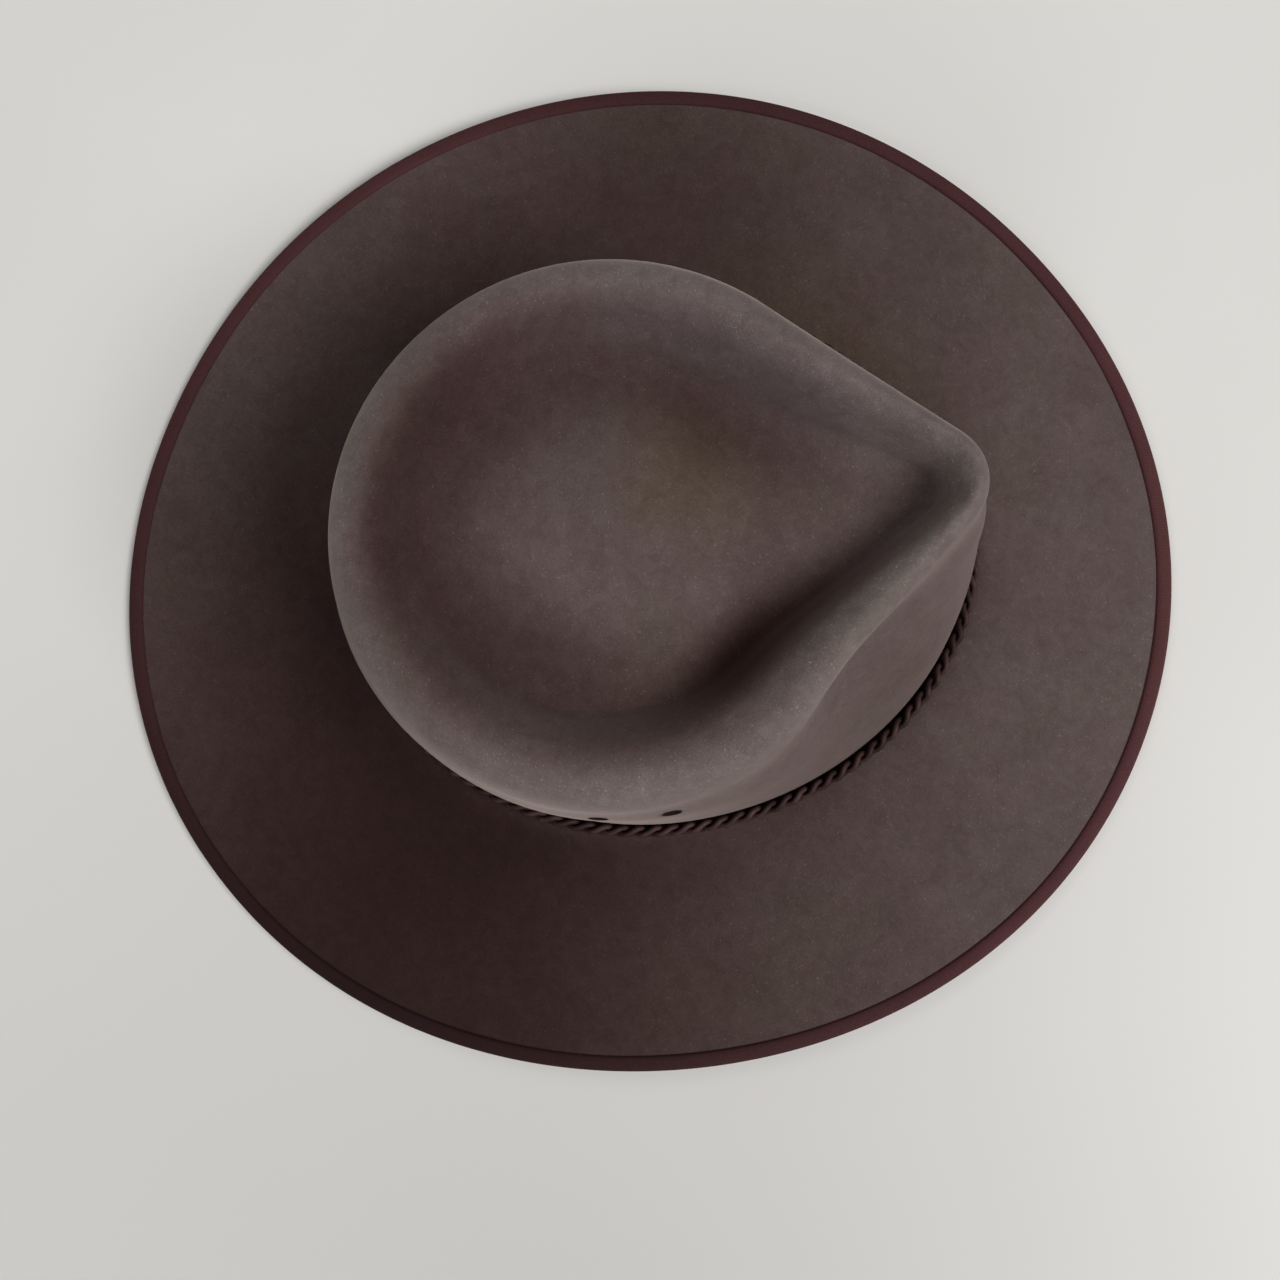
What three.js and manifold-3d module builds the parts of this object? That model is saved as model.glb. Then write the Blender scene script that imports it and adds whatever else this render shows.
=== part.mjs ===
// Wide-brim felt fedora with a teardrop crown, lying on its brim.
// Millimetres, +Z up. The front of the hat faces -Y and the wearer's left is +X.
// The origin lies on the surface that the hat rests on, under the middle of its brim.
// Plan outlines are polar: an angle of 0 is the front, and positive angles turn to the wearer's left.

import * as THREE from 'three';
import { mergeVertices } from 'three/addons/utils/BufferGeometryUtils.js';
import Module from 'manifold-3d';

const wasm = await Module();
wasm.setup();

// Sizes shared by all pieces
const feltThickness = 2.2;
const pieceGap = 0.3;

// Brim outline: an ellipse with a slight three-lobed swell
const brimHalfLength = 181;
const brimHalfWidth = 169.6;
const brimSwell = 1.5;
const brimSwellAngle = THREE.MathUtils.degToRad(82.5);

// The brim's edge rests on the table along its front and back, and rises a little at the sides.
// It starts to rise where the sine of its angle passes the last number.
const brimDish = 3.5;
const sideLift = 4;
const liftStart = 0.4;

// Ribbon folded over the brim's edge
const ribbonThickness = 0.6;
const ribbonCover = 5.2;

// Oval where the crown meets the brim, on the felt's outer face, drawn in at both sides of the back.
// Angle and spread are in degrees.
const baseHalfLength = 104.9;
const baseHalfWidth = 86.6;
const baseForward = 5.2;
const baseTuck = { angle: 152, spread: 32, depth: 4 };

// Teardrop round the rim of the crown, and the smaller one along the trough of its top dent.
// The whole crease is turned a little towards the wearer's right.
const rimOutline = { backRadius: 77.6, backCentre: 5.2, tipRadius: 16.7, tipCentre: 83.6 };
const dentOutline = { backRadius: 50, backCentre: 6, tipRadius: 7, tipCentre: 79 };
const creaseTurn = THREE.MathUtils.degToRad(-2);

// Heights of the rim above the brim, and depths of the top dent below the rim
const rimHeight = { front: 99, side: 94, back: 96 };
const dentDepth = { front: 15, back: 14 };
const domeDepth = 9;
const domeRadius = 40;

// Pinch of the crown's front: a dent in each side, deeper on the wearer's right.
// It presses the wall inward, the rim, the base and the dent by shares of that, and deepens the trough.
// The ridge is the share by which the rim's sections move to their ridged places.
// Angles and spreads are in degrees. The trough is deepest further back than the wall is.
const pinchSides = [
  {
    name: 'left', angle: 34, spread: 20, depth: 8,
    atRim: 0.1, atBase: 0.6, atDent: 0, trough: 5, ridge: 0.1,
  },
  {
    name: 'right', angle: -36, spread: 18, depth: 9,
    atRim: 0.3, atBase: 0, atDent: 0.2, trough: 11, ridge: 1,
  },
];
const troughAngleShare = 1.4;
const troughSpread = 38;
const ridgeAngleShare = 0.8;
const ridgeSpread = 36;
const rimRoundingPasses = 3;

// Two vent holes in each side, above the middle of the wall
const ventRadius = 3;
const ventSideCount = 12;
const ventHeight = 66;
const ventAngles = [90, 105].map(THREE.MathUtils.degToRad);

// Braided band round the foot of the crown
const bandHalfThickness = 2.2;
const bandSeatGap = 0.5;
const bandHalfHeight = 4.6;
const bandSideCount = 8;

// Columns of the felt net, closer together at the front where the crown comes to its tip
const columnCount = 70;
const frontPacking = 0.45;

// Sections of the brim, from its edge to the foot of the crown
const brimSections = [
  { name: 'edge', inward: 0, rise: 0 },
  { name: 'middle', inward: 0.5, rise: 0.2 },
  { name: 'before the break', inward: 0.94, rise: 0.97 },
];

// Sections of the crown's wall, from its foot up to the rim.
// The flares at the front and the back are in millimetres, and the other columns are shares.
// A smooth section has one more ring between it and the next.
const wallSections = [
  { name: 'foot', front: 4, back: 4, toRim: 0, height: 0, pinch: 0, smooth: false },
  { name: 'break', front: 1.3, back: 1.3, toRim: 0, height: 0.009, pinch: 0, smooth: false },
  { name: 'above the break', front: 0.15, back: 0.15, toRim: 0, height: 0.036, pinch: 0, smooth: false },
  { name: 'top of the band', front: 0.2, back: 0.2, toRim: 0.01, height: 0.12, pinch: 0.05, smooth: false },
  { name: 'lower wall', front: 0.9, back: -1.4, toRim: 0.1, height: 0.28, pinch: 0.35, smooth: false },
  { name: 'middle wall', front: 0.9, back: -0.7, toRim: 0.3, height: 0.46, pinch: 0.75, smooth: false },
  { name: 'upper wall', front: 1.8, back: 1.1, toRim: 0.6, height: 0.64, pinch: 1, smooth: false },
  { name: 'under the rim', front: 0.5, back: 1.2, toRim: 0.87, height: 0.78, pinch: 0.9, smooth: true },
];

// Sections over the rim and down into the dent, below the crest by millimetres and a share of the dent.
// A folded section's inner face is rounded off, because the felt has no room there to fold as sharply.
const rimSections = [
  { name: 'side of the rim', toDent: 0, ridged: 0, fall: 10, drop: 0, smooth: true, folded: false },
  { name: 'rim shoulder', toDent: 0.12, ridged: 0.06, fall: 3, drop: 0, smooth: false, folded: true },
  { name: 'rim crest', toDent: 0.34, ridged: 0.22, fall: 0, drop: 0, smooth: true, folded: true },
  { name: 'inner shoulder', toDent: 0.58, ridged: 0.53, fall: 0, drop: 0.17, smooth: true, folded: true },
  { name: 'inner slope', toDent: 0.8, ridged: 0.77, fall: 0, drop: 0.62, smooth: true, folded: false },
  { name: 'trough', toDent: 1, ridged: 1, fall: 0, drop: 1, smooth: false, folded: false },
];

// Sections from the trough over the low dome to the middle of the crown, rounder towards the middle
const domeSections = [
  { name: 'foot of the dome', size: 0.78, rise: 0.22, round: 0.3 },
  { name: 'side of the dome', size: 0.52, rise: 0.68, round: 0.7 },
  { name: 'top of the dome', size: 0.24, rise: 0.95, round: 1 },
];

// Blends between two numbers
function mix(from, to, share) {
  return from + (to - from) * share;
}

// Front, side and back values joined smoothly round the hat
function roundTheHat(angle, { front, side, back }) {
  const cosine = Math.cos(angle);
  const end = cosine > 0 ? front : back;
  return mix(side, end, cosine * cosine);
}

// Distance from the hat's axis to the edge of the brim
function brimRadius(angle) {
  const along = Math.cos(angle) / brimHalfLength;
  const across = Math.sin(angle) / brimHalfWidth;
  return 1 / Math.hypot(along, across) + brimSwell * Math.cos(3 * (angle - brimSwellAngle));
}

// Height that the brim's edge rises to at an angle
function edgeLift(angle) {
  return sideLift * THREE.MathUtils.smoothstep(Math.abs(Math.sin(angle)), liftStart, 1);
}

// Distance from the hat's axis to the crown's base: an oval, its centre a little forward, with its pinch
// and its tucks
function baseRadius(angle) {
  const cosine = Math.cos(angle);
  const sine = Math.sin(angle);
  const a = (cosine / baseHalfLength) ** 2 + (sine / baseHalfWidth) ** 2;
  const b = (baseForward * cosine) / baseHalfLength ** 2;
  const c = (baseForward / baseHalfLength) ** 2 - 1;
  const leftTuck = baseTuck.depth * softShare(angle, baseTuck.angle, baseTuck.spread);
  const rightTuck = baseTuck.depth * softShare(angle, -baseTuck.angle, baseTuck.spread);
  return (b + Math.sqrt(b * b - a * c)) / a - pinchAt(angle).base - leftTuck - rightTuck;
}

// Distance along a ray to a circle whose centre lies on the front-to-back axis
function rayToCircle(angle, centre, radius) {
  const along = centre * Math.cos(angle);
  return along + Math.sqrt(along * along - centre * centre + radius * radius);
}

// Distance from the hat's axis to a teardrop: a round back, two straight sides and a round tip
function teardropRadius(angle, { backRadius, backCentre, tipRadius, tipCentre }) {
  const ray = Math.abs(creaseAngle(angle));
  const sideAngle = Math.acos((backRadius - tipRadius) / (backCentre + tipCentre));
  const sideOffset = backRadius - backCentre * Math.cos(sideAngle);
  const tipX = tipCentre + tipRadius * Math.cos(sideAngle);
  const backX = -backCentre + backRadius * Math.cos(sideAngle);
  const tipEnd = Math.atan2(tipRadius * Math.sin(sideAngle), tipX);
  const backStart = Math.atan2(backRadius * Math.sin(sideAngle), backX);
  if (ray < tipEnd) return rayToCircle(ray, tipCentre, tipRadius);
  if (ray < backStart) return sideOffset / Math.cos(ray - sideAngle);
  return rayToCircle(ray, -backCentre, backRadius);
}

// Angle from the crease's own front, between half a turn to the right and half a turn to the left
function creaseAngle(angle) {
  return Math.atan2(Math.sin(angle - creaseTurn), Math.cos(angle - creaseTurn));
}

// Share of a soft dent at an angle: all of it at its middle, fading to both sides
function softShare(angle, middleAngle, spread) {
  const offset = THREE.MathUtils.radToDeg(creaseAngle(angle)) - middleAngle;
  const wrapped = THREE.MathUtils.euclideanModulo(offset + 180, 360) - 180;
  return Math.exp(-((wrapped / spread) ** 2));
}

// What the pinch does at an angle: inward to wall, rim, base and dent, down to the trough, and the ridge
function pinchAt(angle) {
  const pinch = { wall: 0, rim: 0, base: 0, dent: 0, trough: 0, ridge: 0 };
  for (const side of pinchSides) {
    const share = softShare(angle, side.angle, side.spread);
    pinch.wall += side.depth * share;
    pinch.rim += side.depth * side.atRim * share;
    pinch.base += side.depth * side.atBase * share;
    pinch.dent += side.depth * side.atDent * share;
    pinch.trough += side.trough * softShare(angle, side.angle * troughAngleShare, troughSpread);
    pinch.ridge += side.ridge * softShare(angle, side.angle * ridgeAngleShare, ridgeSpread);
  }
  return pinch;
}

// Height of the brim's upper face where it meets the ribbon, and where it meets the crown
const brimEdgeTop = ribbonThickness + pieceGap + feltThickness;
const brimCrownTop = brimEdgeTop + brimDish;

// The felt stops short of the brim's outline, where the ribbon wraps round it
const feltEdgeInset = ribbonThickness + pieceGap;

// Middle of the brim's outline, which the origin lies under
function brimMiddle() {
  const outline = new THREE.Box2();
  const steps = 720;
  for (let step = 0; step < steps; step++) {
    const angle = (step / steps) * 2 * Math.PI;
    const radius = brimRadius(angle);
    outline.expandByPoint(new THREE.Vector2(radius * Math.sin(angle), -radius * Math.cos(angle)));
  }
  return outline.getCenter(new THREE.Vector2());
}

const middle = brimMiddle();

// Point of the hat at an angle, a distance from its axis and a height
function hatPoint(angle, radius, height) {
  const x = radius * Math.sin(angle) - middle.x;
  const y = -radius * Math.cos(angle) - middle.y;
  return new THREE.Vector3(x, y, height);
}

// Top of the dome, on the hat's axis
const domeHeight = rimHeight.side - domeDepth;
const domeTop = hatPoint(0, 0, brimCrownTop + domeHeight);

// Column angles, from the front round by the wearer's left
function columnAngles() {
  return Array.from({ length: columnCount }, (_, column) => {
    const even = (column / columnCount) * 2 * Math.PI;
    return even - frontPacking * Math.sin(even);
  });
}

// Points over the felt's outer face at one angle, from the brim's edge to beside the crown's middle
function feltColumn(angle) {
  const edge = brimRadius(angle) - feltEdgeInset;
  const edgeTop = brimEdgeTop + edgeLift(angle);
  const base = baseRadius(angle);
  const foot = base + wallSections[0].front;
  const pinch = pinchAt(angle);
  const rim = teardropRadius(angle, rimOutline);
  const pressedRim = rim - pinch.rim;
  const dent = teardropRadius(angle, dentOutline) - pinch.dent;
  const height = roundTheHat(angle, rimHeight);
  const frontness = 0.5 + 0.5 * Math.cos(angle);
  const depth = mix(dentDepth.back, dentDepth.front, frontness) + pinch.trough;
  const points = [];
  for (const { inward, rise } of brimSections) {
    points.push(hatPoint(angle, mix(edge, foot, inward), mix(edgeTop, brimCrownTop, rise)));
  }
  for (const section of wallSections) {
    const flare = mix(section.back, section.front, frontness);
    const radius = mix(base, rim, section.toRim) + flare - pinch.wall * section.pinch;
    points.push(hatPoint(angle, radius, brimCrownTop + height * section.height));
  }
  for (const { toDent, ridged, fall, drop } of rimSections) {
    const radius = mix(pressedRim, dent, mix(toDent, ridged, pinch.ridge));
    points.push(hatPoint(angle, radius, brimCrownTop + height - fall - depth * drop));
  }
  for (const { size, rise, round } of domeSections) {
    const radius = size * mix(dent, domeRadius, round);
    points.push(hatPoint(angle, radius, brimCrownTop + mix(height - depth, domeHeight, rise)));
  }
  return points;
}

// Sections in order from the brim's edge, and the section that each ring of the net belongs to
const feltSections = [...brimSections, ...wallSections, ...rimSections, ...domeSections];
const ringSections = feltSections.flatMap((section) => (section.smooth ? [section, section] : [section]));

// Grid of the felt's outer face: one list of points per column, with the smooth sections' extra rings
function feltGrid() {
  return columnAngles().map((angle) => {
    const points = feltColumn(angle);
    const curve = new THREE.CatmullRomCurve3([...points, domeTop], false, 'centripetal');
    return points.flatMap((point, index) => {
      if (!feltSections[index].smooth) return [point];
      return [point, curve.getPoint((index + 0.5) / points.length)];
    });
  });
}

// Outward direction of the grid at a column and row, from the neighbours on each side
function gridNormal(grid, column, row) {
  const before = grid[(column + grid.length - 1) % grid.length][row];
  const after = grid[(column + 1) % grid.length][row];
  const outer = grid[column][Math.max(row - 1, 0)];
  const inner = grid[column][Math.min(row + 1, grid[column].length - 1)];
  const round = new THREE.Vector3().subVectors(after, before);
  const inward = new THREE.Vector3().subVectors(inner, outer);
  return round.cross(inward).normalize();
}

// Rounds a column of inner points off where the felt folds over the rim
function roundInsideRim(points) {
  return points.map((point, row) => {
    if (!ringSections[row].folded) return point;
    const neighbours = new THREE.Vector3().addVectors(points[row - 1], points[row + 1]);
    return neighbours.addScaledVector(point, 2).divideScalar(4);
  });
}

// The same grid one felt thickness below the outer face
function innerGrid(grid) {
  return grid.map((column, columnIndex) => {
    let points = column.map((point, row) => {
      const normal = row === 0 ? new THREE.Vector3(0, 0, 1) : gridNormal(grid, columnIndex, row);
      return point.clone().addScaledVector(normal, -feltThickness);
    });
    for (let pass = 0; pass < rimRoundingPasses; pass++) {
      points = roundInsideRim(points);
    }
    return points;
  });
}

// Geometry from a list of points and a list of triangles
function meshGeometry(points, triangles) {
  const geometry = new THREE.BufferGeometry();
  const coordinates = points.flatMap((point) => point.toArray());
  geometry.setAttribute('position', new THREE.Float32BufferAttribute(coordinates, 3));
  geometry.setIndex(triangles.flat());
  geometry.computeVertexNormals();
  return geometry;
}

// Closed felt shell: outer face, inner face and the strip that joins them along the brim's edge
function feltShell() {
  const outer = feltGrid();
  const inner = innerGrid(outer);
  const rowCount = outer[0].length;
  const outerMiddle = 2 * columnCount * rowCount;
  const innerMiddle = outerMiddle + 1;
  const points = [...outer.flat(), ...inner.flat()];
  points.push(domeTop, domeTop.clone().setZ(domeTop.z - feltThickness));
  const outerIndex = (column, row) => (column % columnCount) * rowCount + row;
  const innerIndex = (column, row) => outerIndex(column, row) + columnCount * rowCount;
  const triangles = [];
  for (let column = 0; column < columnCount; column++) {
    for (let row = 0; row < rowCount - 1; row++) {
      const [a, b] = [outerIndex(column, row), outerIndex(column + 1, row)];
      const [c, d] = [outerIndex(column, row + 1), outerIndex(column + 1, row + 1)];
      triangles.push([a, b, d], [a, d, c]);
      const [e, f] = [innerIndex(column, row), innerIndex(column + 1, row)];
      const [g, h] = [innerIndex(column, row + 1), innerIndex(column + 1, row + 1)];
      triangles.push([e, h, f], [e, g, h]);
    }
    triangles.push([outerIndex(column, rowCount - 1), outerIndex(column + 1, rowCount - 1), outerMiddle]);
    triangles.push([innerIndex(column + 1, rowCount - 1), innerIndex(column, rowCount - 1), innerMiddle]);
    const [j, k] = [outerIndex(column, 0), outerIndex(column + 1, 0)];
    const [l, m] = [innerIndex(column, 0), innerIndex(column + 1, 0)];
    triangles.push([j, l, m], [j, m, k]);
  }
  return meshGeometry(points, triangles);
}

// Solid for cutting, made from a closed geometry
function toSolid(geometry) {
  const bare = geometry.clone();
  bare.deleteAttribute('normal');
  bare.deleteAttribute('uv');
  const merged = mergeVertices(bare);
  const vertProperties = new Float32Array(merged.attributes.position.array);
  const triVerts = new Uint32Array(merged.index.array);
  return new wasm.Manifold(new wasm.Mesh({ numProp: 3, vertProperties, triVerts }));
}

// Geometry of a solid after cutting
function fromSolid(solid) {
  const { numProp, vertProperties, triVerts } = solid.getMesh();
  const geometry = new THREE.BufferGeometry();
  geometry.setAttribute('position', new THREE.BufferAttribute(new Float32Array(vertProperties), numProp));
  geometry.setIndex(new THREE.BufferAttribute(new Uint32Array(triVerts), 1));
  geometry.computeVertexNormals();
  return geometry;
}

// Short round cutter through the wall at a vent, which lies about halfway from the base oval to the rim
function ventCutter(angle) {
  const wallRadius = mix(baseRadius(angle), teardropRadius(angle, rimOutline), 0.5);
  const length = 8 * feltThickness;
  const cutter = new THREE.CylinderGeometry(ventRadius, ventRadius, length, ventSideCount);
  cutter.rotateZ(angle);
  const centre = hatPoint(angle, wallRadius, brimCrownTop + ventHeight);
  return cutter.translate(centre.x, centre.y, centre.z);
}

// Crown and brim in one piece of felt, with the vents cut through
function makeFeltBody() {
  let body = toSolid(feltShell());
  for (const side of [-1, 1]) {
    for (const angle of ventAngles) {
      body = body.subtract(toSolid(ventCutter(side * angle)));
    }
  }
  const felt = new THREE.MeshStandardMaterial({ color: 0x4a3e3a, roughness: 0.95, metalness: 0 });
  return new THREE.Mesh(fromSolid(body), felt);
}

// Closed ring with the same section all round, lifted by a height that changes with the angle.
// The section's points are [distance outward, height], anticlockwise as seen with the hat's axis on the left.
function ringGeometry(section, radiusAt, liftAt) {
  const angles = columnAngles();
  const points = angles.flatMap((angle) =>
    section.map(([outward, height]) => hatPoint(angle, radiusAt(angle) + outward, height + liftAt(angle))),
  );
  const sides = section.length;
  const at = (column, side) => (column % angles.length) * sides + (side % sides);
  const triangles = [];
  for (let column = 0; column < angles.length; column++) {
    for (let side = 0; side < sides; side++) {
      const [a, b] = [at(column, side), at(column + 1, side)];
      const [c, d] = [at(column, side + 1), at(column + 1, side + 1)];
      triangles.push([a, b, d], [a, d, c]);
    }
  }
  return meshGeometry(points, triangles);
}

// Ribbon folded over the edge of the brim, open towards the crown
function makeBrimBinding() {
  const foldRadius = ribbonThickness;
  const top = brimEdgeTop + pieceGap;
  const bottom = ribbonThickness;
  const section = [
    [-ribbonCover, 0],
    [-foldRadius, 0],
    [0, foldRadius],
    [0, top + ribbonThickness - foldRadius],
    [-foldRadius, top + ribbonThickness],
    [-ribbonCover, top + ribbonThickness],
    [-ribbonCover, top],
    [-ribbonThickness, top],
    [-ribbonThickness, bottom],
    [-ribbonCover, bottom],
  ];
  const ribbon = new THREE.MeshStandardMaterial({ color: 0x432326, roughness: 0.8, metalness: 0 });
  return new THREE.Mesh(ringGeometry(section, brimRadius, edgeLift), ribbon);
}

// Band of braided leather round the foot of the crown
function makeHatBand() {
  const outward = bandSeatGap + bandHalfThickness;
  const middleHeight = brimCrownTop + 3 * pieceGap + bandHalfHeight;
  const section = Array.from({ length: bandSideCount }, (_, side) => {
    const turn = (side / bandSideCount) * 2 * Math.PI;
    return [
      outward + bandHalfThickness * Math.cos(turn),
      middleHeight + bandHalfHeight * Math.sin(turn),
    ];
  });
  const leather = new THREE.MeshStandardMaterial({ color: 0x1e1311, roughness: 0.5, metalness: 0 });
  return new THREE.Mesh(ringGeometry(section, baseRadius, () => 0), leather);
}

const hat = new THREE.Group();
const feltBody = makeFeltBody();
feltBody.name = 'felt_body';
const brimBinding = makeBrimBinding();
brimBinding.name = 'brim_binding';
const hatBand = makeHatBand();
hatBand.name = 'hat_band';
hat.add(feltBody, brimBinding, hatBand);

export default hat;
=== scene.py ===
"""Looks of a wide-brim felt fedora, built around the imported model.

Shapes are worked out in millimetres and become metres as each mesh is made.
+Z is up, the front of the hat faces -Y and the wearer's left is +X.
Outlines are polar round the hat's axis: an angle of 0 is the front, and positive angles turn to the left.
"""

import bpy
from collections import namedtuple
from math import acos, atan2, cos, pi, radians, sin, tan

import numpy as np
from mathutils import Matrix, Vector


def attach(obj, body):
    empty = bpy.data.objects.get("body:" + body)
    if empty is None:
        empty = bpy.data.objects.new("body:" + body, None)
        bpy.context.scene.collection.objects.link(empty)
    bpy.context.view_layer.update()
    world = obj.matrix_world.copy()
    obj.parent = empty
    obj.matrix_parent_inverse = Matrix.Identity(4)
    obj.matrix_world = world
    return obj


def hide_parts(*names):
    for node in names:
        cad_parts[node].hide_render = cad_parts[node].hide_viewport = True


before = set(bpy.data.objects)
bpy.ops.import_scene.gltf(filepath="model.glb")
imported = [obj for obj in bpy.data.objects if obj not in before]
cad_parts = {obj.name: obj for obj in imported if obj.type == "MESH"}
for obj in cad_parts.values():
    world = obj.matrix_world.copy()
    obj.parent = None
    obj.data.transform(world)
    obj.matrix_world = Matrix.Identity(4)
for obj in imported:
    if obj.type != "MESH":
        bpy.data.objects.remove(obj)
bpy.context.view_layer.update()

MM = 0.001

# Sizes shared by all pieces
FELT_THICKNESS = 2.2
PIECE_GAP = 0.3

# Brim outline: an ellipse with a slight three-lobed swell. Its edge rises a little at the sides.
BRIM_HALF_LENGTH = 181
BRIM_HALF_WIDTH = 169.6
BRIM_SWELL = 1.5
BRIM_SWELL_ANGLE = radians(82.5)
BRIM_DISH = 3.5
SIDE_LIFT = 4
LIFT_START = 0.4

# Ribbon folded over the brim's edge, with two round bends and cross ribs
RIBBON_THICKNESS = 0.6
RIBBON_COVER = 5.2
RIBBON_FLAT_START = 3.2
RIBBON_BEND_RADIUS = 1.3
RIBBON_BEND_STEPS = 4
RIB_PITCH = 0.95
RIB_DEPTH = 0.09
RIB_STEPS = 4

# Oval where the crown meets the brim, on the felt's outer face, drawn in at both sides of the back
BASE_HALF_LENGTH = 104.9
BASE_HALF_WIDTH = 86.6
BASE_FORWARD = 5.2
TUCK_ANGLE = 152
TUCK_SPREAD = 32
TUCK_DEPTH = 4

# Teardrop round the rim of the crown, and the smaller one along the trough of its top dent
Teardrop = namedtuple("Teardrop", "back_radius back_centre tip_radius tip_centre")
RIM_OUTLINE = Teardrop(77.6, 5.2, 16.7, 83.6)
DENT_OUTLINE = Teardrop(50, 6, 7, 79)
CREASE_TURN = radians(-2)

# Heights of the rim above the brim, and depths of the top dent below the rim
Round = namedtuple("Round", "front side back")
RIM_HEIGHT = Round(99, 94, 96)
DENT_DEPTH_FRONT = 15
DENT_DEPTH_BACK = 14
DOME_DEPTH = 9
DOME_RADIUS = 40

# How far the felt ends inside the ribbon's edge, the height of the brim's upper face at the ribbon and
# at the crown, and the height of the dome's top above it
FELT_EDGE_INSET = RIBBON_THICKNESS + PIECE_GAP
BRIM_EDGE_TOP = RIBBON_THICKNESS + PIECE_GAP + FELT_THICKNESS
BRIM_CROWN_TOP = BRIM_EDGE_TOP + BRIM_DISH
DOME_HEIGHT = RIM_HEIGHT.side - DOME_DEPTH

# Pinch of the crown's front: a dent in each side, with angles and spreads in degrees. It goes to its
# depth in the wall, and to shares of it at the rim, the base and the top dent. Its trough deepens the
# top dent, and its ridge sharpens the rim by a share from 0 to 1.
PinchSide = namedtuple("PinchSide", "name angle spread depth at_rim at_base at_dent trough ridge")
PINCH_SIDES = [
    PinchSide("left", 34, 20, 8, 0.1, 0.6, 0, 5, 0.1),
    PinchSide("right", -36, 18, 9, 0.3, 0, 0.2, 11, 1),
]
TROUGH_ANGLE_SHARE = 1.4
TROUGH_SPREAD = 38
RIDGE_ANGLE_SHARE = 0.8
RIDGE_SPREAD = 36

# Two vent holes in each side, above the middle of the wall, cut out with round bars.
# Edges that turn by more than the sharp angle aren't shaded smooth.
VENT_RADIUS = 3
VENT_HEIGHT = 66
VENT_ANGLES = [radians(90), radians(105)]
VENT_SIDES = 24
VENT_BAR_REACH = 4 * FELT_THICKNESS
SHARP_ANGLE = radians(50)

# Braided band round the foot of the crown: three leather straps, each with a squarish oval section
BAND_HALF_THICKNESS = 2.2
BAND_SEAT_GAP = 0.5
BAND_FOOT_GAP = 3 * PIECE_GAP
BAND_HALF_HEIGHT = 4.6
BRAID_PERIODS = 36
STRAP_COUNT = 3
STRAP_HALF_WIDTH = 2.0
STRAP_HALF_THICKNESS = 1.0
STRAP_WIDTH_POWER = 0.8
STRAP_THICKNESS_POWER = 0.6
STRAP_DEPTH_SWING = 1.1
STRAP_STEPS = 22
STRAP_SIDES = 12

# Net of the felt: columns round the hat, closer together at the front, the passes that round the
# inside of the rim's fold, and the height of the felt's slight waves
COLUMN_COUNT = 400
FRONT_PACKING = 0.45
INSIDE_ROUNDING_PASSES = 14
WAVE_HEIGHT = 0.22

# Steps along an outline to find its middle, and to find its length
MIDDLE_STEPS = 720
LENGTH_STEPS = 4000

# Sections of the felt from the brim's edge inward, with the number of rings to the next section.
# The tones are painted light and shade: how light the felt is towards the painted light's angle,
# near the front, and opposite it, with painted light on rolls and dome and painted shade in hollows.
# They are smoothed from row to row. The inside has one tone.
PAINTED_LIGHT_ANGLE = radians(-25)
TONE_PASSES = 6
INSIDE_TONE = 0.8
BrimSection = namedtuple("BrimSection", "name inward rise rings front_tone back_tone")
BRIM_SECTIONS = [
    BrimSection("edge", 0, 0, 8, 1.3, 1.3),
    BrimSection("middle", 0.5, 0.2, 8, 1.25, 0.95),
    BrimSection("before the break", 0.94, 0.97, 3, 0.95, 0.65),
]
WallSection = namedtuple(
    "WallSection", "name front_flare back_flare to_rim height pinch rings front_tone back_tone"
)
WALL_SECTIONS = [
    WallSection("foot", 4, 4, 0, 0, 0, 3, 0.9, 0.7),
    WallSection("break", 1.3, 1.3, 0, 0.009, 0, 3, 0.85, 0.7),
    WallSection("above the break", 0.15, 0.15, 0, 0.036, 0, 3, 0.8, 0.7),
    WallSection("top of the band", 0.2, 0.2, 0.01, 0.12, 0.05, 4, 1.1, 0.9),
    WallSection("lower wall", 0.9, -1.4, 0.1, 0.28, 0.35, 5, 1.2, 1.1),
    WallSection("middle wall", 0.9, -0.7, 0.3, 0.46, 0.75, 5, 1.25, 1.3),
    WallSection("upper wall", 1.8, 1.1, 0.6, 0.64, 1, 5, 1.35, 1.8),
    WallSection("under the rim", 0.5, 1.2, 0.87, 0.78, 0.9, 5, 1.45, 2.0),
]
RimSection = namedtuple("RimSection", "name to_dent ridged fall drop rings folded front_tone back_tone")
RIM_SECTIONS = [
    RimSection("side of the rim", 0, 0, 10, 0, 5, True, 1.65, 2.25),
    RimSection("rim shoulder", 0.12, 0.06, 3, 0, 5, True, 2.0, 2.8),
    RimSection("rim crest", 0.34, 0.22, 0, 0, 5, True, 2.4, 1.5),
    RimSection("inner shoulder", 0.58, 0.53, 0, 0.17, 5, True, 2.3, 0.7),
    RimSection("inner slope", 0.8, 0.77, 0, 0.62, 6, False, 1.85, 0.6),
    RimSection("trough", 1, 1, 0, 1, 6, False, 1.35, 0.62),
]
DomeSection = namedtuple("DomeSection", "name size rise round rings front_tone back_tone")
DOME_SECTIONS = [
    DomeSection("foot of the dome", 0.78, 0.22, 0.3, 6, 1.08, 0.98),
    DomeSection("side of the dome", 0.52, 0.68, 0.7, 6, 1.5, 1.7),
    DomeSection("top of the dome", 0.24, 0.95, 1, 6, 1.55, 1.6),
]
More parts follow.
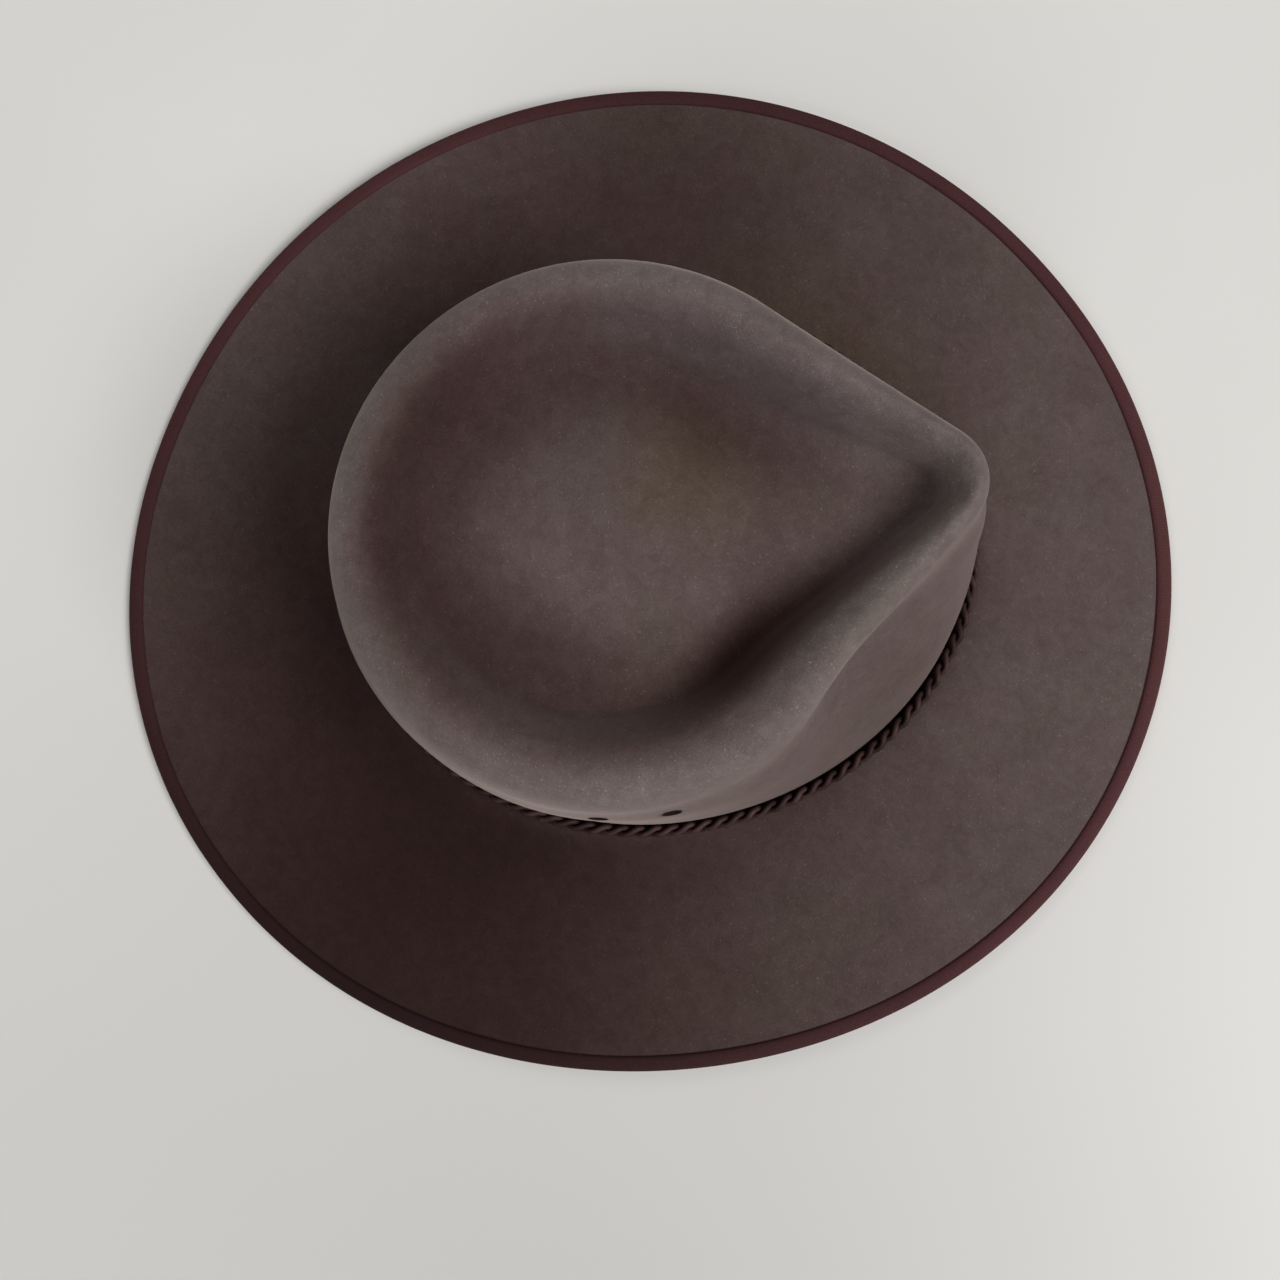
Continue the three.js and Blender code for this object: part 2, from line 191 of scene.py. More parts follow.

# Broad patches of painted light and shade, with angles and spreads in degrees: the nap's sheen, highlights
# and shadows painted into the felt. The brim's patches show on the ribbon too, by its share. Each of the
# other patches lies round one section.
RIBBON_PAINTED_LIGHT_SHARE = 0.85
LightPatch = namedtuple("LightPatch", "name angle spread strength")
BRIM_PATCHES = [
    LightPatch("front", -14, 55, 0.42),
    LightPatch("left", 76, 16, -0.25),
    LightPatch("left back", 141, 24, 0.25),
    LightPatch("right back", -131, 43, -1.4),
]
SectionPatch = namedtuple("SectionPatch", "name section angle spread strength")
FELT_PATCHES = [
    SectionPatch("front", "edge", -4, 30, -0.1),
    SectionPatch("left", "edge", 108, 42, -0.12),
    SectionPatch("front", "middle", -6, 18, -0.13),
    SectionPatch("left", "middle", 102, 38, -0.26),
    SectionPatch("right", "middle", -99, 18, 0.16),
    SectionPatch("right", "before the break", -99, 20, 0.18),
    SectionPatch("right", "under the rim", -72, 26, 0.2),
    SectionPatch("right", "side of the rim", -72, 28, 0.22),
    SectionPatch("left", "rim shoulder", 70, 70, 0.14),
    SectionPatch("right front", "rim shoulder", -40, 17, 0.25),
    SectionPatch("right", "rim shoulder", -82, 30, 0.22),
    SectionPatch("back", "rim shoulder", 171, 20, 0.36),
    SectionPatch("left", "rim crest", 66, 62, 0.28),
    SectionPatch("right front", "rim crest", -44, 22, -0.2),
    SectionPatch("right", "inner shoulder", -64, 22, 0.5),
    SectionPatch("tip", "inner shoulder", -14, 22, 0.5),
    SectionPatch("left back", "inner shoulder", 134, 36, -0.28),
    SectionPatch("back", "inner shoulder", 174, 22, -0.3),
    SectionPatch("tip", "inner slope", 2, 20, 0.55),
    SectionPatch("left", "inner slope", 84, 30, 0.26),
    SectionPatch("left back", "inner slope", 141, 20, -0.2),
    SectionPatch("right front", "inner slope", -50, 36, -0.94),
    SectionPatch("right back", "inner slope", -142, 28, 0.14),
    SectionPatch("tip", "trough", -6, 16, 0.75),
    SectionPatch("left front", "trough", 58, 26, -0.3),
    SectionPatch("right front", "trough", -52, 34, -0.76),
    SectionPatch("right back", "trough", -140, 40, -0.28),
    SectionPatch("left front", "foot of the dome", 42, 28, -0.28),
    SectionPatch("right front", "foot of the dome", -42, 22, 0.4),
    SectionPatch("right back", "foot of the dome", -136, 36, -0.3),
    SectionPatch("back", "foot of the dome", 174, 24, 0.4),
    SectionPatch("left front", "side of the dome", 40, 30, -0.12),
    SectionPatch("right back", "side of the dome", -144, 34, 0.14),
]

# Painted tints of the light on the felt: where its brown leans to a painted bluish reflection, or to yellow
# below 0
BLUE_PATCHES = [
    SectionPatch("left front", "before the break", 38, 26, -0.15),
    SectionPatch("left front", "under the rim", 38, 28, -0.06),
    SectionPatch("left front", "side of the rim", 38, 28, -0.14),
    SectionPatch("left", "inner shoulder", 72, 50, 0.08),
    SectionPatch("left front", "inner slope", 46, 50, 0.12),
    SectionPatch("left front", "trough", 20, 18, 0.12),
    SectionPatch("left back", "trough", 112, 32, 0.08),
    SectionPatch("left front", "foot of the dome", 46, 28, -0.18),
    SectionPatch("left front", "side of the dome", 32, 46, -0.22),
    SectionPatch("left front", "top of the dome", 36, 56, -0.16),
]

# Where the felt's brown leans to red: painted warm shade in the hollow at the front right
RED_PATCHES = [
    SectionPatch("right", "inner shoulder", -82, 30, 0.14),
    SectionPatch("right front", "inner slope", -50, 38, 0.3),
    SectionPatch("right front", "trough", -48, 34, 0.2),
]

# Colours of the felt by its tone of painted light and shade, from 0 to the lightest: redder in the painted
# shade and greyer in the painted light
LIGHTEST_TONE = 6
FELT_COLOURS = [
    (0.12, (0.0120, 0.0046, 0.0041, 1)),
    (0.3, (0.0230, 0.0101, 0.0091, 1)),
    (0.65, (0.0455, 0.0258, 0.0236, 1)),
    (1.0, (0.0650, 0.0425, 0.0390, 1)),
    (1.6, (0.0965, 0.0690, 0.0650, 1)),
    (2.4, (0.1320, 0.1040, 0.0990, 1)),
    (5.5, (0.3000, 0.2550, 0.2380, 1)),
]
OLIVE_TINT = (0.97, 1.08, 0.88, 1)
ROSY_TINT = (1.03, 0.975, 1.015, 1)
FELT_SHEEN = (0.66, 0.54, 0.50, 1)

# Colours of the ribbon and its threads, the leather and its wear, and the table top and its painted soft
# shadow
RIBBON_DARK = (0.040, 0.0125, 0.0135, 1)
RIBBON_LIGHT = (0.052, 0.0170, 0.0180, 1)
RIBBON_THREAD = (0.068, 0.0250, 0.0260, 1)
RIBBON_SHEEN = (0.75, 0.45, 0.45, 1)
LEATHER_DARK = (0.024, 0.0104, 0.0096, 1)
LEATHER_WORN = (0.068, 0.0336, 0.0312, 1)
TABLE_DARK = (0.77, 0.752, 0.722, 1)
TABLE_LIGHT = (0.79, 0.772, 0.742, 1)
TABLE_SHADOW = (0.60, 0.585, 0.565, 1)

# Noise lies mostly between these two values
NOISE_LOW = 0.3
NOISE_HIGH = 0.7

# Table top: its half size, and the middle and the inner and outer radius of its painted soft shadow in metres
TABLE_HALF_SIZE = 4000
SHADOW_MIDDLE = (-0.30, 0.06, 0)
SHADOW_INNER = 0.05
SHADOW_OUTER = 0.42

# Loose hairs of the nap, and a few longer ones that lie on the felt: lengths and widths in millimetres.
# They curl to either side, grow thinner, rise and come down again to a share of their lift.
Hairs = namedtuple("Hairs", "name count shortest longest half_width lift lightness seed")
NAP_HAIRS = Hairs("nap_hairs", 15000, 0.5, 1.4, 0.022, 0.35, 1.5, 3)
LINT_HAIRS = Hairs("lint", 90, 1.2, 4, 0.035, 0.12, 2.6, 8)
HAIR_STEPS = 4
HAIR_CURL = 0.5
HAIR_TAPER = 0.6
HAIR_TIP_RISE = 0.3
HAIR_CLEARANCE = 0.02

# Camera over the hat, in the picture's own directions: right, up the picture, and height
PICTURE_PIXELS = 1280
FOCAL_PIXELS = 1283
HAT_YAW = radians(9.4)
CAMERA_RIGHT = 23.3
CAMERA_UP = -62.1
CAMERA_HEIGHT = 443.7
AIM_RIGHT = radians(-3)
AIM_UP = radians(4.95)
NEAR_CLIP = 10

# Lamps round the table, and an even surround. Azimuths are degrees from the picture's right,
# elevations degrees above the table, distances and sizes metres, powers watts.
Lamp = namedtuple("Lamp", "name azimuth elevation distance size power")
LAMPS = [
    Lamp("key", -24, 48, 4.5, 2.5, 170),
    Lamp("fill", -105, 36, 4.5, 2.5, 45),
    Lamp("back", 130, 50, 4.5, 2.5, 28),
    Lamp("left", 200, 30, 4.5, 2.5, 10),
]
WORLD_COLOUR = (0.80, 0.79, 0.77, 1)
WORLD_STRENGTH = 0.1


def mix(low, high, share):
    """Blends between two numbers or arrays."""
    return low + (high - low) * share


def smoothstep(value, low, high):
    """Soft step from 0 at low to 1 at high."""
    share = np.clip((value - low) / (high - low), 0, 1)
    return share * share * (3 - 2 * share)


def round_the_hat(angle, sizes):
    """Front, side and back values joined smoothly round the hat."""
    cosine = np.cos(angle)
    end = np.where(cosine > 0, sizes.front, sizes.back)
    return mix(sizes.side, end, cosine * cosine)


def brim_radius(angle):
    """Distance from the hat's axis to the edge of the brim."""
    ellipse = 1 / np.hypot(np.cos(angle) / BRIM_HALF_LENGTH, np.sin(angle) / BRIM_HALF_WIDTH)
    return ellipse + BRIM_SWELL * np.cos(3 * (angle - BRIM_SWELL_ANGLE))


def edge_lift(angle):
    """Height that the brim's edge rises to at an angle."""
    return SIDE_LIFT * smoothstep(np.abs(np.sin(angle)), LIFT_START, 1)


def base_radius(angle):
    """Distance from the hat's axis to the crown's base: an oval that lies forward, pinched and tucked."""
    cosine = np.cos(angle)
    a = (cosine / BASE_HALF_LENGTH) ** 2 + (np.sin(angle) / BASE_HALF_WIDTH) ** 2
    b = BASE_FORWARD * cosine / BASE_HALF_LENGTH**2
    c = (BASE_FORWARD / BASE_HALF_LENGTH) ** 2 - 1
    radius = (b + np.sqrt(b * b - a * c)) / a
    for side in PINCH_SIDES:
        radius = radius - side.depth * side.at_base * soft_share(angle, side.angle, side.spread)
    for tuck_angle in (-TUCK_ANGLE, TUCK_ANGLE):
        radius = radius - TUCK_DEPTH * soft_share(angle, tuck_angle, TUCK_SPREAD)
    return radius


def crease_angle(angle):
    """Angle from the crease's own front, between half a turn to each side."""
    return np.arctan2(np.sin(angle - CREASE_TURN), np.cos(angle - CREASE_TURN))


def ray_to_circle(angle, centre, radius):
    """Distance along a ray to a circle whose centre lies on the front-to-back axis."""
    along = centre * np.cos(angle)
    return along + np.sqrt(np.maximum(along * along - centre * centre + radius * radius, 0))


def teardrop_radius(angle, outline):
    """Distance from the hat's axis to a teardrop: a round back, two straight sides and a round tip."""
    back_radius, back_centre, tip_radius, tip_centre = outline
    ray = np.abs(crease_angle(angle))
    side_angle = acos((back_radius - tip_radius) / (back_centre + tip_centre))
    side_offset = back_radius - back_centre * cos(side_angle)
    tip_end = atan2(tip_radius * sin(side_angle), tip_centre + tip_radius * cos(side_angle))
    back_start = atan2(back_radius * sin(side_angle), -back_centre + back_radius * cos(side_angle))
    tip = ray_to_circle(ray, tip_centre, tip_radius)
    side = side_offset / np.maximum(np.cos(ray - side_angle), 0.001)
    back = ray_to_circle(ray, -back_centre, back_radius)
    return np.where(ray < tip_end, tip, np.where(ray < back_start, side, back))


def soft_share(angle, middle_angle, spread):
    """Share of a soft dent at an angle: all of it at its middle, fading to both sides."""
    offset = np.degrees(crease_angle(angle)) - middle_angle
    return np.exp(-(((offset + 180) % 360 - 180) / spread) ** 2)


def pinch_at(angle):
    """The pinch at an angle: inward at wall, rim and dent, down at the trough, and the rim's ridge."""
    wall, rim, dent, trough, ridge = (np.zeros_like(angle) for _ in range(5))
    for side in PINCH_SIDES:
        share = soft_share(angle, side.angle, side.spread)
        wall += side.depth * share
        rim += side.depth * side.at_rim * share
        dent += side.depth * side.at_dent * share
        trough += side.trough * soft_share(angle, side.angle * TROUGH_ANGLE_SHARE, TROUGH_SPREAD)
        ridge += side.ridge * soft_share(angle, side.angle * RIDGE_ANGLE_SHARE, RIDGE_SPREAD)
    return wall, rim, dent, trough, ridge


def brim_middle():
    """Middle of the brim's outline, which the origin lies under."""
    angle = np.linspace(0, 2 * pi, MIDDLE_STEPS, endpoint=False)
    radius = brim_radius(angle)
    x = radius * np.sin(angle)
    y = -radius * np.cos(angle)
    return (x.min() + x.max()) / 2, (y.min() + y.max()) / 2


MIDDLE_X, MIDDLE_Y = brim_middle()


def hat_point(angle, radius, height):
    """Point of the hat at an angle, a distance from its axis and a height."""
    x = radius * np.sin(angle) - MIDDLE_X
    y = -radius * np.cos(angle) - MIDDLE_Y
    z = np.broadcast_to(np.asarray(height, float), np.shape(x))
    return np.stack([x, y, z], axis=-1)


def column_angles(count):
    """Angles of the net's columns, from the front round by the wearer's left."""
    even = np.arange(count) / count * 2 * pi
    return even - FRONT_PACKING * np.sin(even)


def felt_sections(angle):
    """Rows of points over the felt's outer face, one row for each section."""
    edge = brim_radius(angle) - FELT_EDGE_INSET
    edge_top = BRIM_EDGE_TOP + edge_lift(angle)
    base = base_radius(angle)
    foot = base + WALL_SECTIONS[0].front_flare
    wall_pinch, rim_pinch, dent_pinch, trough, ridge = pinch_at(angle)
    rim = teardrop_radius(angle, RIM_OUTLINE)
    pressed_rim = rim - rim_pinch
    dent = teardrop_radius(angle, DENT_OUTLINE) - dent_pinch
    height = round_the_hat(angle, RIM_HEIGHT)
    frontness = 0.5 + 0.5 * np.cos(angle)
    depth = mix(DENT_DEPTH_BACK, DENT_DEPTH_FRONT, frontness) + trough
    rows = []
    for section in BRIM_SECTIONS:
        radius = mix(edge, foot, section.inward)
        rows.append(hat_point(angle, radius, mix(edge_top, BRIM_CROWN_TOP, section.rise)))
    for section in WALL_SECTIONS:
        flare = mix(section.back_flare, section.front_flare, frontness)
        radius = mix(base, rim, section.to_rim) + flare - wall_pinch * section.pinch
        rows.append(hat_point(angle, radius, BRIM_CROWN_TOP + height * section.height))
    for section in RIM_SECTIONS:
        radius = mix(pressed_rim, dent, mix(section.to_dent, section.ridged, ridge))
        fall = section.fall + depth * section.drop
        rows.append(hat_point(angle, radius, BRIM_CROWN_TOP + height - fall))
    for section in DOME_SECTIONS:
        radius = section.size * mix(dent, DOME_RADIUS, section.round)
        rows.append(hat_point(angle, radius, BRIM_CROWN_TOP + mix(height - depth, DOME_HEIGHT, section.rise)))
    return np.array(rows)


ALL_SECTIONS = BRIM_SECTIONS + WALL_SECTIONS + RIM_SECTIONS + DOME_SECTIONS


def curve_rows(rows, rings):
    """Rows along a centripetal Catmull-Rom curve down every column, ending at the top of the dome."""
    top = hat_point(np.zeros(rows.shape[1]), 0, BRIM_CROWN_TOP + DOME_HEIGHT)
    across = np.roll(rows[-1], rows.shape[1] // 2, axis=0)
    before = 2 * rows[0] - rows[1]
    chain = [before, *rows, top, across]
    result = []
    for index, count in enumerate(rings):
        p0, p1, p2, p3 = chain[index : index + 4]
        k0, k1, k2 = (
            np.sqrt(np.linalg.norm(end - start, axis=1, keepdims=True))
            for start, end in ((p0, p1), (p1, p2), (p2, p3))
        )
        slope1 = (p2 - p1) + k1 * ((p1 - p0) / k0 - (p2 - p0) / (k0 + k1))
        slope2 = (p2 - p1) + k1 * ((p3 - p2) / k2 - (p3 - p1) / (k1 + k2))
        for t in np.arange(count) / count:
            from_start = (2 * t**3 - 3 * t**2 + 1) * p1 + (t**3 - 2 * t**2 + t) * slope1
            from_end = (3 * t**2 - 2 * t**3) * p2 + (t**3 - t**2) * slope2
            result.append(from_start + from_end)
    return np.array(result)


def soft_waves(points):
    """Slight hand-blocked unevenness of the felt, as a distance along its normal."""
    x, y, z = np.moveaxis(points, -1, 0)
    waves = 0.5 * np.sin(x / 23 + 1.3 * np.sin(y / 31)) * np.sin(y / 27 + z / 19)
    waves += 0.3 * np.sin(x / 11 + y / 17 + z / 13 + 0.7)
    return WAVE_HEIGHT * waves


def net_normals(net):
    """Outward directions of a net, from the neighbours on each side."""
    around = np.roll(net, -1, axis=1) - np.roll(net, 1, axis=1)
    inward = np.gradient(net, axis=0)
    normal = np.cross(around, inward)
    return normal / np.linalg.norm(normal, axis=-1, keepdims=True)


def patch_strength(angle, patches):
    """How much patches of painted light lighten the felt at an angle, or darken it with painted shade below
    0.
    """
    return sum(patch.strength * soft_share(angle, patch.angle, patch.spread) for patch in patches)


def over_rows(values):
    """One value for each section, spread over the rows between them."""
    rings = [section.rings for section in ALL_SECTIONS]
    starts = np.cumsum([0] + rings)[:-1]
    return np.interp(np.arange(sum(rings)), starts, values)


def patch_net(angle, patch):
    """Strength of a section's patch at each point of the felt's outer face."""
    near = over_rows([section.name == patch.section for section in ALL_SECTIONS])
    return patch.strength * np.outer(near, soft_share(angle, patch.angle, patch.spread))


def patches_net(patches):
    """All of a list's patches together at each point of the felt's outer face."""
    return sum(patch_net(column_angles(COLUMN_COUNT), patch) for patch in patches)


def painted_felt_tones(angle):
    """Painted light and shade of the felt at each point of its outer face."""
    front = over_rows([section.front_tone for section in ALL_SECTIONS])
    back = over_rows([section.back_tone for section in ALL_SECTIONS])
    brim = over_rows([section in BRIM_SECTIONS for section in ALL_SECTIONS])
    tone = mix(back[:, None], front[:, None], 0.5 + 0.5 * np.cos(angle - PAINTED_LIGHT_ANGLE))
    for patch in FELT_PATCHES:
        tone *= 1 + patch_net(angle, patch)
    tone *= np.exp(np.outer(brim, patch_strength(angle, BRIM_PATCHES)))
    for _ in range(TONE_PASSES):
        tone[1:-1] = (tone[:-2] + 2 * tone[1:-1] + tone[2:]) / 4
    return tone


def felt_nets():
    """Nets of the felt's outer and inner faces."""
    angle = column_angles(COLUMN_COUNT)
    rings = [section.rings for section in ALL_SECTIONS]
    outer = curve_rows(felt_sections(angle), rings)
    outer = outer + net_normals(outer) * soft_waves(outer)[..., None]
    normal = net_normals(outer)
    normal[0] = (0, 0, 1)
    inner = outer - FELT_THICKNESS * normal
    folded = np.repeat([getattr(section, "folded", False) for section in ALL_SECTIONS], rings)
    rows = np.flatnonzero(folded)
    for _ in range(INSIDE_ROUNDING_PASSES):
        inner[rows] = (inner[rows - 1] + 2 * inner[rows] + inner[rows + 1]) / 4
    return outer, inner


def net_faces(rows, columns, first=0):
    """Quads of a net that is closed round each row, facing away from the hat's axis and up."""
    index = first + np.arange(rows * columns).reshape(rows, columns)
    after = np.roll(index, -1, axis=1)
    return np.stack([index[:-1], after[:-1], after[1:], index[1:]], axis=-1).reshape(-1, 4)


def new_mesh(name, points, faces):
    """Mesh from points in millimetres."""
    mesh = bpy.data.meshes.new(name)
    mesh.from_pydata((np.asarray(points).reshape(-1, 3) * MM).tolist(), [], faces)
    return mesh


def add_object(name, data):
    """Object in the scene, from its mesh, its lamp or its camera."""
    result = bpy.data.objects.new(name, data)
    bpy.context.scene.collection.objects.link(result)
    return result


def make_mesh(name, points, faces, material):
    """Smooth mesh object from points in millimetres."""
    mesh = new_mesh(name, points, faces)
    mesh.shade_smooth()
    mesh.materials.append(material)
    return add_object(name, mesh)


def store(piece, name, values):
    """Keeps a value for each point of a piece, for its material to read."""
    piece.data.attributes.new(name, "FLOAT", "POINT").data.foreach_set("value", values)


def new_material(name):
    """Node material, with its node tree and its shader."""
    material = bpy.data.materials.new(name)
    material.use_nodes = True
    tree = material.node_tree
    return material, tree, tree.nodes["Principled BSDF"]


def set_inputs(node, values):
    """Sets plain values of a node's inputs by their names."""
    for name, value in values.items():
        node.inputs[name].default_value = value


def fill_socket(tree, value, socket):
    """Links a socket to an input, or sets it to a plain value."""
    if isinstance(value, bpy.types.NodeSocket):
        tree.links.new(value, socket)
    else:
        socket.default_value = value


def add_noise(tree, scale, detail, distortion=0.0):
    """Noise in the object's own coordinates, in features per metre."""
    place = tree.nodes.new("ShaderNodeTexCoord")
    noise = tree.nodes.new("ShaderNodeTexNoise")
    set_inputs(noise, {"Scale": scale, "Detail": detail, "Distortion": distortion})
    tree.links.new(place.outputs["Object"], noise.inputs["Vector"])
    return noise.outputs["Fac"]


def add_range(tree, value, low, high, to_low=0.0, to_high=1.0):
    """Maps a value's range onto another, clamped."""
    node = tree.nodes.new("ShaderNodeMapRange")
    set_inputs(node, {"From Min": low, "From Max": high, "To Min": to_low, "To Max": to_high})
    tree.links.new(value, node.inputs["Value"])
    return node.outputs["Result"]


def spread_noise(tree, noise, to_low=0.0, to_high=1.0):
    """Maps the usual range of a noise onto another, clamped."""
    return add_range(tree, noise, NOISE_LOW, NOISE_HIGH, to_low, to_high)


def add_mix(tree, share, first, second, blend="MIX"):
    """Mixes two colours, each a socket or a plain colour, by a socket or a plain share."""
    node = tree.nodes.new("ShaderNodeMix")
    node.data_type = "RGBA"
    node.blend_type = blend
    # Several sockets of this node share a name, so the share and both colours are found by number
    for value, number in ((share, 0), (first, 6), (second, 7)):
        fill_socket(tree, value, node.inputs[number])
    return node.outputs[2]


def add_bump(tree, height, strength, distance, normal=None):
    """Bump from a height, on top of another bump if one is given, with its distance in metres."""
    node = tree.nodes.new("ShaderNodeBump")
    set_inputs(node, {"Strength": strength, "Distance": distance})
    tree.links.new(height, node.inputs["Height"])
    if normal is not None:
        tree.links.new(normal, node.inputs["Normal"])
    return node.outputs["Normal"]


def add_stored(tree, name):
    """Value that is stored for each point of a piece."""
    node = tree.nodes.new("ShaderNodeAttribute")
    node.attribute_name = name
    return node.outputs["Fac"]


def add_ramp(tree, value, stops):
    """Colour ramp over stops of a value, from 0 to a little past the last stop."""
    node = tree.nodes.new("ShaderNodeValToRGB")
    elements = node.color_ramp.elements
    while len(elements) < len(stops):
        elements.new(0.5)
    for element, (place, colour) in zip(elements, stops):
        element.position = place / LIGHTEST_TONE
        element.color = colour
    tree.links.new(add_range(tree, value, 0, LIGHTEST_TONE), node.inputs["Fac"])
    return node.outputs["Color"]


def add_math(tree, operation, first, second):
    """Sum, product and the like of two values, each a socket or a plain number."""
    node = tree.nodes.new("ShaderNodeMath")
    node.operation = operation
    for value, socket in zip((first, second), node.inputs):
        fill_socket(tree, value, socket)
    return node.outputs["Value"]


def add_lean(tree):
    """Colour that turns the felt's brown towards red and blue by what is stored for each point: painted tints
    of light and shade.
    """
    lean = tree.nodes.new("ShaderNodeCombineColor")
    green = add_math(tree, "SUBTRACT", 1, add_stored(tree, "red"))
    blue = add_math(tree, "ADD", green, add_stored(tree, "blue"))
    for name, value in (("Red", 1), ("Green", green), ("Blue", blue)):
        fill_socket(tree, value, lean.inputs[name])
    return lean.outputs["Color"]


def felt_material():
    """Brown-grey felt: painted shade in its hollows and painted greyer light on its rolls, mottled, with fine
    fibres.
    """
    material, tree, shader = new_material("felt")
    mottle = spread_noise(tree, add_noise(tree, 38, 4, 0.4), 0.9, 1.1)
    nap = spread_noise(tree, add_noise(tree, 210, 3, 0.8), 0.88, 1.12)
    fibre = add_noise(tree, 950, 3, 2.5)
    grain = spread_noise(tree, fibre, 0.82, 1.18)
    # The stored tone is painted light and shade, mottled by noise
    tone = add_math(tree, "MULTIPLY", add_stored(tree, "tone"), add_math(tree, "MULTIPLY", mottle, grain))
    tone = add_math(tree, "MULTIPLY", tone, nap)
    colour = add_ramp(tree, tone, FELT_COLOURS)
    # Painted tints of light and shade, towards red and blue
    colour = add_mix(tree, 1.0, colour, add_lean(tree), "MULTIPLY")
    olive = add_range(tree, add_noise(tree, 17, 3, 0.3), 0.48, 0.7, 0, 0.5)
    colour = add_mix(tree, olive, colour, OLIVE_TINT, "MULTIPLY")
    rosy = add_range(tree, add_noise(tree, 23, 3, 0.6), 0.42, 0.62, 0.5, 0)
    colour = add_mix(tree, rosy, colour, ROSY_TINT, "MULTIPLY")
    fleck = add_range(tree, add_noise(tree, 1500, 2), 0.64, 0.76, 1, 2)
    colour = add_mix(tree, 1.0, colour, fleck, "MULTIPLY")
    tree.links.new(colour, shader.inputs["Base Color"])
    set_inputs(shader, {"Roughness": 0.95, "Specular IOR Level": 0.15})
    set_inputs(shader, {"Sheen Weight": 0.5, "Sheen Roughness": 0.4, "Sheen Tint": FELT_SHEEN})
    bump = add_bump(tree, add_noise(tree, 420, 4, 1.5), 0.25, 0.0004)
    bump = add_bump(tree, fibre, 0.35, 0.00015, bump)
    tree.links.new(bump, shader.inputs["Normal"])
    return material


def hair_material():
    """Loose felt hairs, lighter than the felt that they lie on."""
    material, tree, shader = new_material("hair")
    # The hairs' stored tone is the felt's painted light and shade, made lighter
    tree.links.new(add_ramp(tree, add_stored(tree, "tone"), FELT_COLOURS), shader.inputs["Base Color"])
    set_inputs(shader, {"Roughness": 0.8, "Specular IOR Level": 0.2})
    return material


def ribbon_material():
    """Dark maroon ribbed ribbon with a low sheen."""
    material, tree, shader = new_material("ribbon")
    tone = spread_noise(tree, add_noise(tree, 60, 3))
    thread = spread_noise(tree, add_noise(tree, 2600, 2))
    colour = add_mix(tree, tone, RIBBON_DARK, RIBBON_LIGHT)
    colour = add_mix(tree, thread, colour, RIBBON_THREAD)
    # The stored tone is the brim's painted light and shade, carried onto the ribbon
    colour = add_mix(tree, 1.0, colour, add_stored(tree, "tone"), "MULTIPLY")
    tree.links.new(colour, shader.inputs["Base Color"])
    set_inputs(shader, {"Roughness": 0.7, "Specular IOR Level": 0.12})
    set_inputs(shader, {"Sheen Weight": 0.08, "Sheen Roughness": 0.4, "Sheen Tint": RIBBON_SHEEN})
    tree.links.new(add_bump(tree, thread, 0.3, 0.00008), shader.inputs["Normal"])
    return material


def leather_material():
    """Dark oxblood leather with lighter wear in places."""
    material, tree, shader = new_material("leather")
    wear_and_shadow = add_range(tree, add_noise(tree, 160, 4), 0.42, 0.7)
    grain = add_noise(tree, 1700, 4)
    colour = add_mix(tree, wear_and_shadow, LEATHER_DARK, LEATHER_WORN)
    tree.links.new(colour, shader.inputs["Base Color"])
    tree.links.new(spread_noise(tree, grain, 0.5, 0.68), shader.inputs["Roughness"])
    set_inputs(shader, {"Specular IOR Level": 0.2})
    tree.links.new(add_bump(tree, grain, 0.25, 0.0001), shader.inputs["Normal"])
    return material


def table_material():
    """Pale, smooth table top with a faint unevenness and a painted soft shadow."""
    material, tree, shader = new_material("table")
    tone = add_range(tree, add_noise(tree, 6, 3), 0.35, 0.65)
    colour = add_mix(tree, tone, TABLE_DARK, TABLE_LIGHT)
    place = tree.nodes.new("ShaderNodeTexCoord")
    distance = tree.nodes.new("ShaderNodeVectorMath")
    distance.operation = "DISTANCE"
    distance.inputs[1].default_value = SHADOW_MIDDLE
    tree.links.new(place.outputs["Object"], distance.inputs[0])
    # Painted soft shadow on the table, darkest within its inner radius and fading out at its outer radius
    wear_and_shadow = add_range(tree, distance.outputs["Value"], SHADOW_INNER, SHADOW_OUTER, 1, 0)
    colour = add_mix(tree, wear_and_shadow, colour, TABLE_SHADOW)
    tree.links.new(colour, shader.inputs["Base Color"])
    set_inputs(shader, {"Roughness": 0.5})
    return material


def vent_cutter():
    """Four short round bars through the vents, as one object for cutting."""
    turn = np.linspace(0, 2 * pi, VENT_SIDES, endpoint=False)
    points = []
    faces = []
    for side in (-1, 1):
        for vent in VENT_ANGLES:
            angle = np.array(side * vent)
            radius = mix(base_radius(angle), teardrop_radius(angle, RIM_OUTLINE), 0.5)
            along = hat_point(angle, 1, 0) - hat_point(angle, 0, 0)
            beside = np.cross((0, 0, 1), along)
            centre = hat_point(angle, radius, BRIM_CROWN_TOP + VENT_HEIGHT)
            circle = VENT_RADIUS * (np.outer(np.cos(turn), beside) + np.outer(np.sin(turn), (0, 0, 1)))
            first = len(points)
            points.extend(centre + circle - VENT_BAR_REACH * along)
            points.extend(centre + circle + VENT_BAR_REACH * along)
            near = list(range(first, first + VENT_SIDES))
            far = list(range(first + VENT_SIDES, first + 2 * VENT_SIDES))
            faces.append(near[::-1])
            faces.append(far)
            for here in range(VENT_SIDES):
                after = (here + 1) % VENT_SIDES
                faces.append([near[here], near[after], far[after], far[here]])
    return add_object("vent_cutter", new_mesh("vent_cutter", points, faces))


